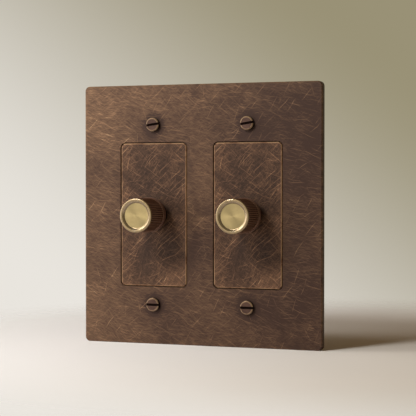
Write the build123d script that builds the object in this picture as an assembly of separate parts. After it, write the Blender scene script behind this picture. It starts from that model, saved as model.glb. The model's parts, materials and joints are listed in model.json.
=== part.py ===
from build123d import *
import math
import os

# A two-gang rotary dimmer switch, millimetres. The wall is the plane Y = 0 and the front faces -Y.
# +Z is up, +X is to the right seen from the front, and the origin is the middle of the four plate screws.
# Each gang holds one dimmer: turn its knob to dim, push it to switch.

os.makedirs("parts", exist_ok=True)

# Edges and fits that many pieces share
EDGE_BREAK = 0.3
FINE_EDGE_R = 0.2
TAP_CLEAR = 0.05

# Standard spacings of the wall box
GANG_PITCH = 46.04
SCREW_PITCH = 83.34

# Wall plate
PLATE_W = 116.0
PLATE_H = 120.0
PLATE_T = 3.5
PLATE_CORNER_R = 2.2
PLATE_BEVEL = 0.45
OPENING_W = 33.3
OPENING_H = 66.9
OPENING_CORNER_R = 2.4
OPENING_BEVEL = 0.15

# Inserts, one flush in each opening
INSERT_GAP = 0.3
INSERT_BEVEL = 0.4
PEG_D = 2.4
PEG_Z = 25.0
PEG_CLEAR = 0.1

# Plate screws
SCREW_D = 3.5
SCREW_NECK_D = 2.8
SCREW_HEAD_D = 6.4
SCREW_HEAD_H = 1.9
SCREW_HEAD_BEVEL = 0.5
SCREW_SLOT_W = 1.15
SCREW_SLOT_DEPTH = 1.1
SCREW_REACH = 19.0
SCREW_TIP = 0.8
SCREW_CLEAR = 0.3
SLOT_TURNS = {
    ("left", "top"): -8.0,
    ("right", "top"): -9.0,
    ("left", "bottom"): 1.0,
    ("right", "bottom"): 0.0,
}

# Mounting strap, in a pocket of the plate's back
STRAP_SIDE_GAP = 3.04
STRAP_H = 105.0
STRAP_T = 1.5
STRAP_CORNER_R = 4.0
STRAP_SLOT_L = 6.6
POCKET_CLEAR = 0.5
EAR_SLOT_W = 1.2
EAR_SLOT_L = 9.0
EAR_SLOT_INSET = 5.0
SCORE_W = 0.6
SCORE_DEPTH = 0.4
SCORE_INSET = 3.2

# Knob, its cap and its grub screw
KNOB_RING_D = 16.2
KNOB_RING_L = 2.8
KNOB_RING_BEVEL = 0.5
KNOB_L = 16.7
GRIP_D = 15.7
KNURL_TEETH = 56
KNURL_DEPTH = 0.32
KNURL_BEVEL = 0.35
KNOB_RELIEF_DEPTH = 1.0
KNOB_RELIEF_WALL = 1.8
CAP_INSET = 0.1
CAP_T = 0.7
CAP_EDGE_R = 0.45
CAP_RIM_W = 1.05
DISH_DEPTH = 1.05
DISH_CORNER_R = 0.3
DISH_TAPER = 0.95
CUP_INSET = 0.85
CUP_L = 1.5
CUP_CLEAR = 0.02
GRUB_D = 3.0
GRUB_RECESS = 0.5
GRUB_HEX = 1.5
GRUB_HEX_DEPTH = 1.4
GRUB_CLEAR = 0.03

# Shaft
SHAFT_D = 6.0
SHAFT_FLAT_DEPTH = 0.75
SHAFT_FLAT_L = 9.0
SHAFT_END_WALL = 1.0
SHAFT_BEVEL = 0.4
DRIVE_FLAT_DEPTH = 0.75
COLLAR_D = 7.6
COLLAR_T = 0.8
PIN_D = 3.0
PIN_ENTER = 1.0
SHAFT_BORE_CLEAR = 0.03
KNOB_BORE_CLEAR = 0.01

# Movement
TURN_DEG = 270.0
PUSH_TRAVEL = 1.2
KNOB_CLEAR = 0.4
SLIDE_CLEAR = 0.05
RUN_GAP = 0.1

# Bushing, lock washer and nut
BUSHING_D = 8.0
BUSHING_CLEAR = 0.1
FLANGE_D = 13.0
FLANGE_T = 1.2
THREAD_PROUD = 0.4
WASHER_T = 0.5
WASHER_RIM = 2.6
WASHER_TEETH = 12
WASHER_TOOTH_L = 0.8
NUT_T = 1.8
NUT_WALL = 1.6
NUT_BEVEL_DEG = 30.0

# Control case with its track, rotor and wiper
CAN_D = 17.0
CAN_WALL = 0.6
CAN_HOLE_CLEAR = 0.3
LUG_DEG = 28.0
STOP_CLEAR_DEG = 1.0
LUG_LENGTH = 1.2
LUG_ROOT = 1.0
LUG_CLEAR = 0.2
ROTOR_D = 12.6
WEB_T = 2.4
WEB_CLEAR = 0.5
HUB_WALL = 1.0
HUB_L = 1.0
RING_WALL = 0.9
WIPER_T = 0.3
WIPER_RIM = 1.3
WIPER_ARM_W = 0.8
WIPER_REACH = 2.4
WIPER_FOOT = 1.0
WIPER_PAD = 1.0
WIPER_BEND_X = 0.4
TRACK_T = 1.2
TRACK_EDGE_CLEAR = 0.15
TRACK_HOLE_CLEAR = 0.4
INK_T = 0.1
INK_W = 1.4
INK_GAP_DEG = 70.0
TONGUE_W = 11.0
TONGUE_L = 2.6
TRACK_PINS = 3
TRACK_PIN_PITCH = 3.6
PIN_WIRE_D = 0.8

# Push switch behind the control
SWITCH_W = 15.0
SWITCH_H = 12.0
SWITCH_CORNER_R = 0.8
SWITCH_WALL = 1.2
SWITCH_FRONT_WALL = 1.4
SWITCH_BACK_WALL = 1.0
HEAD_D = 5.0
PLUNGER_FLANGE_D = 7.4
PLUNGER_FLANGE_T = 1.0
FLANGE_GAP = 0.3
STEM_D = 2.4
STEM_L = 2.6
STEM_END_GAP = 0.6
BRIDGE_L = 11.6
BRIDGE_W = 3.0
BRIDGE_T = 0.4
CONTACT_GAP = 0.05
CONTACT_W = 1.8
CONTACT_DEPTH = 2.4
SPRING_D = 5.2
SPRING_WIRE_D = 0.4
SPRING_TURNS = 4
SPRING_SEAT = 0.05

# Circuit board
BOARD_T = 1.6
BOARD_CLEAR = 0.3
BOARD_CORNER_R = 1.0
PIN_PROUD = 0.8
PIN_HOLE_CLEAR = 0.15

# Rear housing
HOUSING_W = 36.0
HOUSING_H = 66.0
HOUSING_WALL = 1.6
HOUSING_CORNER_R = 3.0
HOUSING_EDGE_R = 1.2
SOLDER_ROOM = 3.6
BOSS_D = 6.0
BOSS_STEP_D = 9.0
BOSS_SINK = 0.5
SHEET_T = 0.4
SHEET_INSET = 0.4

# Housing screws, triac screws and earth screws
FIXING_D = 3.0
FIXING_HEAD_D = 5.4
FIXING_HEAD_H = 1.9
FIXING_RECESS = 2.2
FIXING_SHORT = 0.2
FIXING_CLEAR = 0.15
EARTH_D = 4.0
EARTH_HEAD_D = 7.6
EARTH_HEAD_H = 2.4
EARTH_X = 12.5
EARTH_Z = -41.5
CROSS_W = 0.9
CROSS_DEPTH = 1.0

# Terminals in recesses of the housing's sides
TERMINAL_Z = 14.0
POCKET_DEPTH = 3.2
POCKET_W = 10.0
POCKET_FRONT_GAP = 0.8
TERMINAL_T = 1.0
TERMINAL_W = 8.2
TERMINAL_L = 9.0
TAIL_W = 3.0
TAIL_REACH = 1.6
TAIL_CLEAR = 0.1
CLAMP_SCREW_D = 3.6
CLAMP_HEAD_D = 6.8
CLAMP_HEAD_H = 1.9
CLAMP_SLOT_W = 0.9
CLAMP_SLOT_DEPTH = 0.9

# Triac
TRIAC_W = 10.2
TRIAC_BODY_H = 9.2
TRIAC_BODY_T = 4.4
TRIAC_TAB_H = 6.4
TRIAC_TAB_T = 1.3
TRIAC_LEG_PITCH = 2.54
TRIAC_LEG_W = 0.8
TRIAC_LEG_T = 0.5
TRIAC_LEG_Y = 2.4
TRIAC_LEG_DROP = 2.2
TRIAC_LEG_BEND_R = 0.9
TRIAC_CUT_CLEAR = 0.5
TRIAC_BEVEL = 0.5

# Choke
CORE_D = 17.6
CORE_HOLE_D = 9.6
CORE_L = 6.4
CORE_EDGE_R = 0.8
WIRE_D = 0.9
WINDING_CLEAR = 0.05
WINDING_TURNS = 22
WINDING_GAP_DEG = 50.0
WINDING_LEAD_DEG = 6.0
CHOKE_GAP = 2.0

# Capacitor
CAPACITOR_W = 18.0
CAPACITOR_H = 7.0
CAPACITOR_L = 11.0
CAPACITOR_EDGE_R = 0.6
CAPACITOR_PITCH = 15.0
CAPACITOR_GAP = 10.5

# Places along Y, worked out from the wall plane towards the front
STRAP_FRONT = -STRAP_T
PLATE_FRONT = -PLATE_T
WASHER_FRONT = PLATE_FRONT - WASHER_T
NUT_FRONT = WASHER_FRONT - NUT_T
BUSHING_FRONT = NUT_FRONT - THREAD_PROUD
KNOB_REAR = BUSHING_FRONT - PUSH_TRAVEL - KNOB_CLEAR
KNOB_FRONT = KNOB_REAR - KNOB_L
CAP_REAR = KNOB_FRONT + CAP_T
CUP_REAR = CAP_REAR + CUP_L
SHAFT_FRONT = CUP_REAR + SHAFT_END_WALL
GRUB_Y = SHAFT_FRONT + SHAFT_FLAT_L / 2

# Places along Y, worked out from the wall plane towards the back
CAN_FRONT = FLANGE_T
CAN_FLOOR = CAN_FRONT + CAN_WALL
COLLAR_FRONT = CAN_FLOOR + RUN_GAP
COLLAR_BACK = COLLAR_FRONT + COLLAR_T
ROTOR_FRONT = CAN_FLOOR + RUN_GAP
WEB_FRONT = COLLAR_BACK + PUSH_TRAVEL + WEB_CLEAR
WEB_BACK = WEB_FRONT + WEB_T
HUB_BACK = WEB_BACK + HUB_L
TRACK_FRONT = WEB_BACK + WIPER_REACH
TRACK_BACK = TRACK_FRONT + TRACK_T
SWITCH_FRONT = TRACK_BACK
SWITCH_FLOOR = SWITCH_FRONT + SWITCH_FRONT_WALL
DRIVE_BACK = SWITCH_FRONT - PUSH_TRAVEL - RUN_GAP
SHAFT_BACK = SWITCH_FRONT + PIN_ENTER
PLUNGER_FRONT = SHAFT_BACK + SLIDE_CLEAR
PLUNGER_FLANGE_FRONT = SWITCH_FLOOR + FLANGE_GAP
BRIDGE_FRONT = PLUNGER_FLANGE_FRONT + PLUNGER_FLANGE_T
BRIDGE_BACK = BRIDGE_FRONT + BRIDGE_T
STEM_BACK = BRIDGE_BACK + STEM_L
CONTACT_FRONT = BRIDGE_BACK + PUSH_TRAVEL + CONTACT_GAP
SWITCH_CEILING = STEM_BACK + PUSH_TRAVEL + STEM_END_GAP
BOARD_FRONT = SWITCH_CEILING + SWITCH_BACK_WALL
BOARD_BACK = BOARD_FRONT + BOARD_T
PIN_BACK = BOARD_BACK + PIN_PROUD
HOUSING_FLOOR = BOARD_BACK + SOLDER_ROOM
HOUSING_BACK = HOUSING_FLOOR + HOUSING_WALL
FIXING_SEAT = HOUSING_BACK - FIXING_RECESS

# Diameters of the knob's cap
CAP_D = GRIP_D - 2 * CAP_INSET
DISH_D = CAP_D - 2 * CAP_RIM_W
CUP_D = CAP_D - 2 * CUP_INSET

# Places across a gang
STRAP_W = GANG_PITCH - STRAP_SIDE_GAP
INSERT_W = OPENING_W - 2 * INSERT_GAP
INSERT_H = OPENING_H - 2 * INSERT_GAP
BOSS_X = HOUSING_W / 2 - HOUSING_WALL - BOSS_D / 2 + BOSS_SINK
BOSS_Z = HOUSING_H / 2 - HOUSING_WALL - BOSS_D / 2 + BOSS_SINK
POCKET_FLOOR = HOUSING_W / 2 - POCKET_DEPTH
BLOCK_INNER = POCKET_FLOOR - HOUSING_WALL
BOARD_NOTCH = BLOCK_INNER - BOARD_CLEAR
TERMINAL_FRONT = BOARD_FRONT - TERMINAL_L
POCKET_FRONT = TERMINAL_FRONT - POCKET_FRONT_GAP
CLAMP_Y = TERMINAL_FRONT + (TERMINAL_L - TERMINAL_T) / 2
ROTOR_RING_R = COLLAR_D / 2 + 2 * RUN_GAP + RING_WALL
HUB_R = SHAFT_D / 2 + HUB_WALL
CAN_INNER_R = CAN_D / 2 - CAN_WALL
LUG_R = ROTOR_D / 2 + LUG_LENGTH
TRACK_R = CAN_INNER_R - TRACK_EDGE_CLEAR
TRACK_HOLE_R = SHAFT_D / 2 + TRACK_HOLE_CLEAR
TRACK_PIN_Z = -(CAN_D + TONGUE_L) / 2
TRIAC_L = TRIAC_TAB_H + TRIAC_BODY_H + TRIAC_LEG_DROP
TRIAC_TOP = TRIAC_L / 2 - (CAN_D / 2 + HOUSING_H / 2 - HOUSING_WALL) / 2
TRIAC_TAB_Z = TRIAC_TOP - TRIAC_TAB_H / 2
TRIAC_BODY_TOP = TRIAC_TOP - TRIAC_TAB_H
TRIAC_BODY_BOTTOM = TRIAC_BODY_TOP - TRIAC_BODY_H
WINDING_R = CORE_D / 2 + WIRE_D
CHOKE_Z = SWITCH_H / 2 + CHOKE_GAP + WINDING_R
CHOKE_MIDDLE_Y = BOARD_FRONT - WIRE_D - CORE_L / 2
CAPACITOR_Z = -(SWITCH_H / 2 + CAPACITOR_GAP + CAPACITOR_H / 2)

GANGS = {"left": -GANG_PITCH / 2, "right": GANG_PITCH / 2}
ROWS = {"top": SCREW_PITCH / 2, "bottom": -SCREW_PITCH / 2}
TERMINAL_PLACES = [(0, TERMINAL_Z), (0, -TERMINAL_Z), (180, 0)]

# Beyond every piece, for the shapes that cut
FAR = 200.0


# Shared shapes

def facing(y):
    """A sketch plane at depth y, seen from the front: X to the right, Z up."""
    return Plane(origin=(0, y, 0), x_dir=(1, 0, 0), z_dir=(0, -1, 0))


def slab(sketch, y_front, y_back):
    """A flat piece between two depths."""
    return extrude(facing(y_back) * sketch, amount=y_back - y_front)


def rod(radius, y_front, y_back, x=0, z=0):
    return slab(Pos(x, z) * Circle(radius), y_front, y_back)


def block(x0, x1, y0, y1, z0, z1):
    """A box between two corners."""
    return Pos((x0 + x1) / 2, (y0 + y1) / 2, (z0 + z1) / 2) * Box(x1 - x0, y1 - y0, z1 - z0)


def turned(outline):
    """A turned piece about the Y axis from (radius, y, corner radius) points."""
    points = [(radius, y) for radius, y, _ in outline]
    corners = [corner for _, _, corner in outline]
    return revolve(make_face(FilletPolyline(*points, radius=corners, close=True)), axis=Axis.Y)


def round_point(radius, degrees):
    """A point on a circle, with its angle clockwise from the top as seen from the front."""
    angle = math.radians(degrees)
    return (radius * math.sin(angle), radius * math.cos(angle))


def sector(inner, outer, start, end):
    """Part of a ring between two clockwise angles, under half a turn."""
    middle = (start + end) / 2
    corners = [(0, 0), round_point(FAR, start), round_point(FAR, middle), round_point(FAR, end)]
    ring = Circle(outer)
    if inner > 0:
        ring = Circle(outer) - Circle(inner)
    return ring & make_face(Polyline(*corners, close=True))


def screw(y_under, shank_r, length, head_r, head_h):
    """A screw along Y with its head behind y_under and its shank in front of it."""
    return turned([
        (0, y_under + head_h, 0),
        (head_r - EDGE_BREAK, y_under + head_h, 0),
        (head_r, y_under + head_h - EDGE_BREAK, 0),
        (head_r, y_under, 0),
        (shank_r, y_under, 0),
        (shank_r, y_under - length + EDGE_BREAK, 0),
        (shank_r - EDGE_BREAK, y_under - length, 0),
        (0, y_under - length, 0),
    ])


def cross_slot(y_face, radius):
    """The cross of a driver recess, cut from the back of a head."""
    bars = Rectangle(2 * radius, CROSS_W) + Rectangle(CROSS_W, 2 * radius)
    return slab(bars, y_face - CROSS_DEPTH, y_face)


def in_gangs(piece):
    """The same piece in both gangs."""
    return [Pos(x, 0, 0) * piece for x in GANGS.values()]


def side_place(turn, z):
    """From the +X side of a gang to one of its terminal places."""
    return Pos(0, 0, z) * Rot(0, turn, 0)


# Front

def wall_plate():
    plate = slab(RectangleRounded(PLATE_W, PLATE_H, PLATE_CORNER_R), PLATE_FRONT, 0)
    plate = chamfer(plate.faces().sort_by(Axis.Y)[0].edges(), PLATE_BEVEL)
    opening = RectangleRounded(OPENING_W, OPENING_H, OPENING_CORNER_R)
    for x in GANGS.values():
        plate -= slab(Pos(x, 0) * opening, PLATE_FRONT, 0)
        for z in ROWS.values():
            plate -= rod(SCREW_D / 2 + SCREW_CLEAR, PLATE_FRONT, 0, x, z)
    front = plate.faces().sort_by(Axis.Y)[0]
    rims = [wire.edges() for wire in front.inner_wires() if wire.length > 2 * OPENING_H]
    plate = chamfer([edge for rim in rims for edge in rim], OPENING_BEVEL)
    pocket = RectangleRounded(
        GANG_PITCH + STRAP_W + 2 * POCKET_CLEAR, STRAP_H + 2 * POCKET_CLEAR, STRAP_CORNER_R + POCKET_CLEAR
    )
    return plate - slab(pocket, STRAP_FRONT, 0)


def insert():
    face = RectangleRounded(INSERT_W, INSERT_H, OPENING_CORNER_R - INSERT_GAP)
    piece = slab(face, PLATE_FRONT, STRAP_FRONT)
    piece = chamfer(piece.faces().sort_by(Axis.Y)[0].edges(), INSERT_BEVEL)
    piece -= rod(BUSHING_D / 2 + BUSHING_CLEAR, PLATE_FRONT, STRAP_FRONT)
    for z in (PEG_Z, -PEG_Z):
        piece += rod(PEG_D / 2, STRAP_FRONT, -RUN_GAP, 0, z)
    return piece


def plate_screw():
    """A cheese head, a thin neck through the plate and strap, and the shank behind the wall plane."""
    face = PLATE_FRONT - SCREW_HEAD_H
    head_r = SCREW_HEAD_D / 2
    shank_r = SCREW_D / 2
    return turned([
        (0, face, 0),
        (head_r - SCREW_HEAD_BEVEL, face, 0),
        (head_r, face + SCREW_HEAD_BEVEL, 0),
        (head_r, PLATE_FRONT, 0),
        (SCREW_NECK_D / 2, PLATE_FRONT, 0),
        (SCREW_NECK_D / 2, 0, 0),
        (shank_r, 0, 0),
        (shank_r, SCREW_REACH - SCREW_TIP, 0),
        (shank_r - SCREW_TIP, SCREW_REACH, 0),
        (0, SCREW_REACH, 0),
    ])


def plate_screws():
    face = PLATE_FRONT - SCREW_HEAD_H
    bar = Rectangle(2 * SCREW_HEAD_D, SCREW_SLOT_W)
    screws = []
    for (gang, row), turn in SLOT_TURNS.items():
        slot = slab(Rot(0, 0, -turn) * bar, face, face + SCREW_SLOT_DEPTH)
        screws.append(Pos(GANGS[gang], 0, ROWS[row]) * (plate_screw() - slot))
    return screws


# Knob

def knurl_outline():
    """Straight V grooves all round, one point at each tip and each root."""
    points = []
    for tooth in range(KNURL_TEETH):
        points.append(round_point(GRIP_D / 2, 360 * tooth / KNURL_TEETH))
        points.append(round_point(GRIP_D / 2 - KNURL_DEPTH, 360 * (tooth + 0.5) / KNURL_TEETH))
    return make_face(Polyline(*points, close=True))


def shaft_bore(flat_depth, clear, y_front, y_back):
    """The hole for the shaft's D-shaped end, with its flat at the bottom."""
    radius = SHAFT_D / 2 + clear
    below = Pos(0, -radius - SHAFT_D / 2 + flat_depth - clear) * Rectangle(3 * SHAFT_D, 2 * radius)
    return slab(Circle(radius) - below, y_front, y_back)


def knob_body():
    ring_front = KNOB_REAR - KNOB_RING_L
    ring_r = KNOB_RING_D / 2
    root_r = GRIP_D / 2 - KNURL_DEPTH
    ring = turned([
        (0, ring_front, 0),
        (root_r, ring_front, 0),
        (ring_r - KNOB_RING_BEVEL, ring_front, 0),
        (ring_r, ring_front + KNOB_RING_BEVEL, 0),
        (ring_r, KNOB_REAR - KNOB_RING_BEVEL / 2, 0),
        (ring_r - KNOB_RING_BEVEL / 2, KNOB_REAR, 0),
        (0, KNOB_REAR, 0),
    ])
    blank = turned([
        (0, CAP_REAR, 0),
        (GRIP_D / 2 - KNURL_BEVEL, CAP_REAR, 0),
        (GRIP_D / 2, CAP_REAR + KNURL_BEVEL, 0),
        (GRIP_D / 2, ring_front, 0),
        (0, ring_front, 0),
    ])
    body = ring + (slab(knurl_outline(), CAP_REAR, ring_front) & blank)
    body -= rod(CUP_D / 2 + CUP_CLEAR, CAP_REAR, CUP_REAR)
    flat_end = SHAFT_FRONT + SHAFT_FLAT_L
    body -= shaft_bore(SHAFT_FLAT_DEPTH, KNOB_BORE_CLEAR, SHAFT_FRONT - RUN_GAP, flat_end)
    body -= rod(SHAFT_D / 2 + KNOB_BORE_CLEAR, flat_end, KNOB_REAR)
    relief_back = Circle(ring_r - KNOB_RELIEF_WALL) - Circle(SHAFT_D / 2 + KNOB_RELIEF_WALL)
    body -= slab(relief_back, KNOB_REAR - KNOB_RELIEF_DEPTH, KNOB_REAR)
    grub_hole = Pos(0, GRUB_Y, -GRIP_D / 2) * Cylinder(GRUB_D / 2 + GRUB_CLEAR, GRIP_D)
    return body - grub_hole


def grub_screw():
    """Set from below against the shaft's flat, with a hexagon socket."""
    inner = -(SHAFT_D / 2 - SHAFT_FLAT_DEPTH)
    outer = -(GRIP_D / 2 - KNURL_DEPTH - GRUB_RECESS)
    length = inner - outer
    body = Pos(0, GRUB_Y, (inner + outer) / 2) * Cylinder(GRUB_D / 2, length)
    socket = extrude(RegularPolygon(GRUB_HEX / 2, 6, major_radius=False), amount=GRUB_HEX_DEPTH)
    return body - Pos(0, GRUB_Y, outer) * socket


def knob_cap():
    """A shallow brass cup with a rounded rim and a sloping wall, pressed into the knob's front."""
    dish_floor = KNOB_FRONT + DISH_DEPTH
    return turned([
        (0, dish_floor, 0),
        (DISH_D / 2 - DISH_TAPER, dish_floor, DISH_CORNER_R),
        (DISH_D / 2, KNOB_FRONT, FINE_EDGE_R),
        (CAP_D / 2, KNOB_FRONT, CAP_EDGE_R),
        (CAP_D / 2, CAP_REAR, 0),
        (CUP_D / 2, CAP_REAR, 0),
        (CUP_D / 2, CUP_REAR, 0),
        (0, CUP_REAR, 0),
    ])


def shaft():
    """D-shaped in the knob, round in the bushing, two flats in the rotor and a pin for the switch."""
    radius = SHAFT_D / 2
    piece = turned([
        (0, SHAFT_FRONT, 0),
        (radius - SHAFT_BEVEL, SHAFT_FRONT, 0),
        (radius, SHAFT_FRONT + SHAFT_BEVEL, 0),
        (radius, COLLAR_FRONT, 0),
        (COLLAR_D / 2, COLLAR_FRONT, 0),
        (COLLAR_D / 2, COLLAR_BACK, 0),
        (radius, COLLAR_BACK, 0),
        (radius, DRIVE_BACK, 0),
        (PIN_D / 2, DRIVE_BACK, 0),
        (PIN_D / 2, SHAFT_BACK - EDGE_BREAK, 0),
        (PIN_D / 2 - EDGE_BREAK, SHAFT_BACK, 0),
        (0, SHAFT_BACK, 0),
    ])
    flat = radius - SHAFT_FLAT_DEPTH
    piece -= block(-radius, radius, SHAFT_FRONT, SHAFT_FRONT + SHAFT_FLAT_L, -radius, -flat)
    drive = radius - DRIVE_FLAT_DEPTH
    for low, high in ((drive, COLLAR_D), (-COLLAR_D, -drive)):
        piece -= block(-COLLAR_D, COLLAR_D, COLLAR_BACK, DRIVE_BACK, low, high)
    return piece


# Bushing and its fixings

def bushing():
    bore_r = SHAFT_D / 2 + SHAFT_BORE_CLEAR
    outer_r = BUSHING_D / 2
    return turned([
        (bore_r, BUSHING_FRONT, 0),
        (outer_r - EDGE_BREAK, BUSHING_FRONT, 0),
        (outer_r, BUSHING_FRONT + EDGE_BREAK, 0),
        (outer_r, 0, 0),
        (FLANGE_D / 2, 0, 0),
        (FLANGE_D / 2, FLANGE_T, 0),
        (bore_r, FLANGE_T, 0),
    ])


def lock_washer():
    """A flat ring with short inner teeth."""
    inner = BUSHING_D / 2 + BUSHING_CLEAR
    shape = Circle(inner + WASHER_RIM) - Circle(inner + WASHER_TOOTH_L)
    tooth_deg = 180 / WASHER_TEETH
    for tooth in range(WASHER_TEETH):
        start = 2 * tooth_deg * tooth
        shape += sector(inner, inner + 2 * WASHER_TOOTH_L, start, start + tooth_deg)
    return slab(shape, WASHER_FRONT, PLATE_FRONT)


def hex_nut():
    flat_r = BUSHING_D / 2 + NUT_WALL
    corner_r = flat_r / math.cos(math.pi / 6)
    bevel_depth = (corner_r - flat_r) * math.tan(math.radians(NUT_BEVEL_DEG))
    hexagon = RegularPolygon(flat_r, 6, major_radius=False)
    nut = slab(hexagon - Circle(BUSHING_D / 2 + TAP_CLEAR), NUT_FRONT, WASHER_FRONT)
    return nut & turned([
        (0, NUT_FRONT, 0),
        (flat_r, NUT_FRONT, 0),
        (corner_r, NUT_FRONT + bevel_depth, 0),
        (corner_r, WASHER_FRONT, 0),
        (0, WASHER_FRONT, 0),
    ])


def mounting_strap():
    """The steel yoke: slots for the plate screws, tapped holes and break-off ears."""
    piece = slab(RectangleRounded(STRAP_W, STRAP_H, STRAP_CORNER_R), STRAP_FRONT, 0)
    piece -= rod(BUSHING_D / 2 + BUSHING_CLEAR, STRAP_FRONT, 0)
    slot = SlotOverall(STRAP_SLOT_L, SCREW_D + 2 * SCREW_CLEAR)
    for z in ROWS.values():
        piece -= slab(Pos(0, z) * slot, STRAP_FRONT, 0)
    for z in (PEG_Z, -PEG_Z):
        piece -= rod(PEG_D / 2 + PEG_CLEAR, STRAP_FRONT, 0, 0, z)
    for x, z in boss_places():
        piece -= rod(FIXING_D / 2 + TAP_CLEAR, STRAP_FRONT, 0, x, z)
    piece -= rod(FIXING_D / 2 + TAP_CLEAR, STRAP_FRONT, 0, 0, TRIAC_TAB_Z)
    piece -= rod(EARTH_D / 2 + TAP_CLEAR, STRAP_FRONT, 0, EARTH_X, EARTH_Z)
    for side in (1, -1):
        for end in (1, -1):
            z = end * (STRAP_H / 2 - EAR_SLOT_INSET)
            x = side * (STRAP_W / 2 - EAR_SLOT_L / 2)
            piece -= slab(Pos(x, z) * Rectangle(EAR_SLOT_L, EAR_SLOT_W), STRAP_FRONT, 0)
        x = side * (STRAP_W / 2 - SCORE_INSET)
        length = STRAP_H - 4 * EAR_SLOT_INSET
        piece -= slab(Pos(x, 0) * Rectangle(SCORE_W, length), -SCORE_DEPTH, 0)
    return piece


# Control

def case_stop():
    """The sector of the case that the rotor's lug meets at either end of its turn."""
    width = 360 - TURN_DEG - LUG_DEG - 2 * STOP_CLEAR_DEG
    inner = ROTOR_D / 2 + LUG_CLEAR
    shape = sector(inner, CAN_INNER_R + CAN_WALL / 2, 180 - width / 2, 180 + width / 2)
    return slab(shape, CAN_FLOOR, WEB_BACK)


def control_case():
    can = turned([
        (SHAFT_D / 2 + CAN_HOLE_CLEAR, CAN_FRONT, 0),
        (CAN_D / 2, CAN_FRONT, CAN_WALL),
        (CAN_D / 2, TRACK_BACK, 0),
        (CAN_INNER_R, TRACK_BACK, 0),
        (CAN_INNER_R, CAN_FLOOR, 0),
        (SHAFT_D / 2 + CAN_HOLE_CLEAR, CAN_FLOOR, 0),
    ])
    half = TONGUE_W / 2 + TRACK_EDGE_CLEAR
    slot = block(-half, half, TRACK_FRONT - INK_T, TRACK_BACK, -CAN_D, -CAN_D / 4)
    return can + case_stop() - slot


def rotor():
    """The plastic rotor: front ring, web with the stop lug and hub with a two-flat hole."""
    half_stop = 180 - TURN_DEG / 2 - LUG_DEG / 2 - STOP_CLEAR_DEG
    lug_start = 180 + half_stop + STOP_CLEAR_DEG
    ring = slab(Circle(ROTOR_RING_R) - Circle(ROTOR_RING_R - RING_WALL), ROTOR_FRONT, WEB_FRONT)
    web = rod(ROTOR_D / 2, WEB_FRONT, WEB_BACK)
    lug = sector(ROTOR_D / 2 - LUG_ROOT, LUG_R, lug_start, lug_start + LUG_DEG)
    hub = rod(HUB_R, WEB_BACK, HUB_BACK)
    clear_r = SHAFT_D / 2 + SLIDE_CLEAR
    flats = Rectangle(2 * SHAFT_D, 2 * (SHAFT_D / 2 - DRIVE_FLAT_DEPTH + SLIDE_CLEAR))
    hole = slab(Circle(clear_r) & flats, WEB_FRONT, HUB_BACK)
    return ring + web + slab(lug, WEB_FRONT, WEB_BACK) + hub - hole


def wiper():
    """A bronze ring round the hub with one sprung finger on each side."""
    inner = HUB_R + SLIDE_CLEAR
    ring = slab(Circle(inner + WIPER_RIM) - Circle(inner), WEB_BACK, WEB_BACK + WIPER_T)
    tip = TRACK_FRONT - INK_T
    front_x = WIPER_BEND_X
    back_x = WIPER_BEND_X - WIPER_T / 3
    reach = tip - WEB_BACK
    end_x = front_x + reach + WIPER_PAD
    profile = make_face(Polyline(
        (-WIPER_FOOT, WEB_BACK),
        (front_x, WEB_BACK),
        (front_x + reach, tip - WIPER_T),
        (end_x, tip - WIPER_T),
        (end_x, tip),
        (back_x + reach, tip),
        (back_x, WEB_BACK + WIPER_T),
        (-WIPER_FOOT, WEB_BACK + WIPER_T),
        close=True,
    ))
    finger = Pos(0, 0, inner + WIPER_RIM - WIPER_ARM_W) * extrude(profile, amount=WIPER_ARM_W)
    return ring + finger + Rot(0, 180, 0) * finger


def track_pin_places():
    middle = (TRACK_PINS - 1) / 2
    return [((number - middle) * TRACK_PIN_PITCH, TRACK_PIN_Z) for number in range(TRACK_PINS)]


def track_disc():
    """The printed resistor: a horseshoe of ink, a tongue through the case and three pins."""
    tongue = Pos(0, -(CAN_D / 2 + TONGUE_L) / 2) * Rectangle(TONGUE_W, CAN_D / 2 + TONGUE_L)
    shape = Circle(TRACK_R) + tongue - Circle(TRACK_HOLE_R)
    disc = slab(shape, TRACK_FRONT, TRACK_BACK)
    middle_r = HUB_R + SLIDE_CLEAR + WIPER_RIM - WIPER_ARM_W / 2
    inner, outer = middle_r - INK_W / 2, middle_r + INK_W / 2
    gap = sector(0, 2 * outer, 180 - INK_GAP_DEG / 2, 180 + INK_GAP_DEG / 2)
    disc += slab(Circle(outer) - Circle(inner) - gap, TRACK_FRONT - INK_T / 2, TRACK_FRONT)
    for x, z in track_pin_places():
        disc += rod(PIN_WIRE_D / 2, TRACK_BACK, PIN_BACK, x, z)
    return disc


# Push switch

def switch_case():
    outer = slab(RectangleRounded(SWITCH_W, SWITCH_H, SWITCH_CORNER_R), SWITCH_FRONT, BOARD_FRONT)
    cavity = Rectangle(SWITCH_W - 2 * SWITCH_WALL, SWITCH_H - 2 * SWITCH_WALL)
    case = outer - slab(cavity, SWITCH_FLOOR, SWITCH_CEILING)
    case -= rod(HEAD_D / 2 + SLIDE_CLEAR, SWITCH_FRONT, SWITCH_FLOOR)
    for x in contact_places():
        case -= rod(PIN_WIRE_D / 2 + PIN_HOLE_CLEAR, SWITCH_CEILING, BOARD_FRONT, x, 0)
    return case


def contact_places():
    x = SWITCH_W / 2 - SWITCH_WALL - RUN_GAP - CONTACT_W / 2
    return (x, -x)


def switch_contacts():
    """Two fixed contacts, each a post with a pin through the board."""
    pieces = []
    for x in contact_places():
        half = CONTACT_W / 2
        post = block(x - half, x + half, CONTACT_FRONT, SWITCH_CEILING, -CONTACT_DEPTH / 2, CONTACT_DEPTH / 2)
        pieces.append(post + rod(PIN_WIRE_D / 2, SWITCH_CEILING, PIN_BACK, x, 0))
    return pieces


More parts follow.
